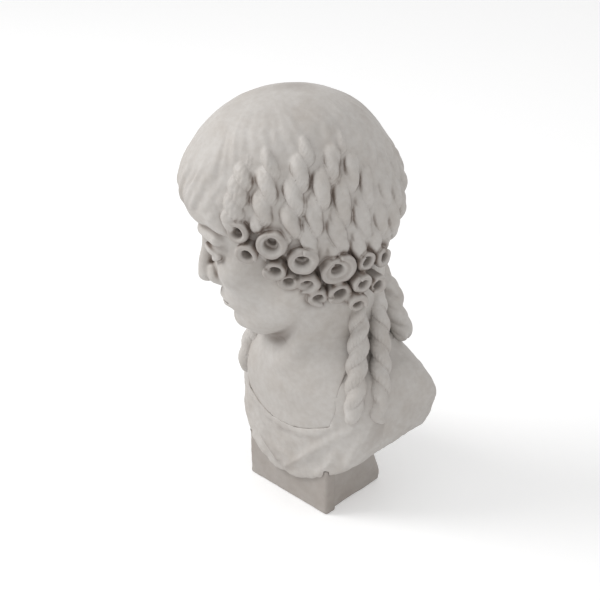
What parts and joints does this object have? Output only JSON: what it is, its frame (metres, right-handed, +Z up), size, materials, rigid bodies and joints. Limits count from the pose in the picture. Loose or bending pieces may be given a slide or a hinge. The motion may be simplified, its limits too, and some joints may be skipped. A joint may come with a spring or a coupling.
{
  "type": "portrait bust",
  "caption": "Life-size marble bust of a woman, head turned and bowed, corkscrew curls, draped chest on a short base with a back support.",
  "frame": {"origin": "middle of the base's underside, where the tablet and the back support stand on the shelf", "axes": "+Z up; the chest and the front tablet face -Y; the sitter's left is towards +X"},
  "size_m": [0.2355, 0.2091, 0.4555],
  "materials": {
    "marble": "matte",
    "steel": "satin"
  },
  "bodies": {
    "root": {"head": "marble", "chest": "marble", "tablet": "marble", "back_support": "marble", "left_front_ringlet": "marble", "left_back_ringlet": "marble", "right_front_ringlet": "marble", "right_back_ringlet": "marble", "nape_tail": "marble", "neck_dowel": "steel", "support_dowel_left": "steel", "support_dowel_right": "steel", "tablet_pin_left": "steel", "tablet_pin_right": "steel", "left_front_ringlet_pin": "steel", "left_back_ringlet_pin": "steel", "right_front_ringlet_pin": "steel", "right_back_ringlet_pin": "steel", "nape_tail_pin": "steel"}
  },
  "joints": []
}
